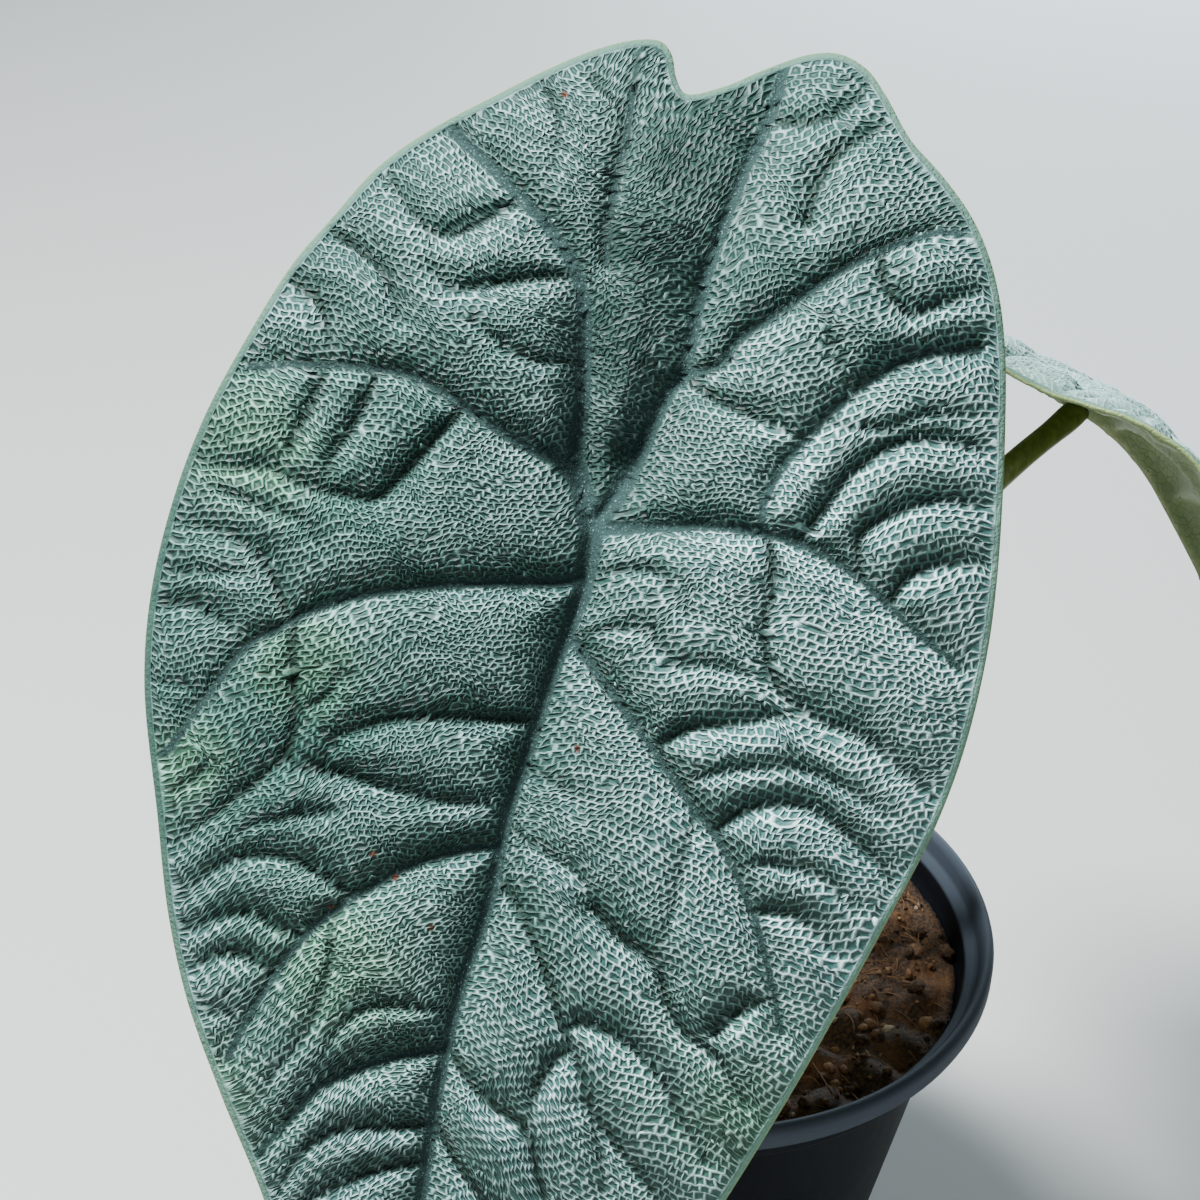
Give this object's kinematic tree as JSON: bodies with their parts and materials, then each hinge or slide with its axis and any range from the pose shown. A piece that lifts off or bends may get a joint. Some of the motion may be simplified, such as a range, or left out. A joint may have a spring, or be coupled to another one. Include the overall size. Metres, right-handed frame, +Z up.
{
  "type": "potted alocasia melo",
  "caption": "Small potted foliage plant with thick, deeply quilted, peltate leaves on arching petioles in a round nursery pot of coir.",
  "frame": {"origin": "centre of the pot's flat base, on the surface that it stands on", "axes": "+Z up along the pot's axis, -Y towards the side that the front leaf faces, +X to that viewer's right"},
  "size_m": [0.213, 0.1968, 0.2733],
  "materials": {
    "pot_plastic": "satin near-black injection-moulded plastic with a faint blue-grey sheen",
    "coir": "damp reddish-brown coir crumbs with a few pale grains",
    "leaf_blade": "thick grey-green quilted leaf with a fine pale raised net over dark green pits",
    "petiole": "smooth fleshy olive stem with fine darker streaks",
    "crown": "pale brown and olive sheathed crown with dry papery edges"
  },
  "bodies": {
    "root": {"pot": "pot_plastic", "soil": "coir", "crown": "crown", "petiole_front": "petiole", "petiole_back": "petiole", "leaf_front": "leaf_blade", "leaf_back": "leaf_blade"}
  },
  "joints": []
}
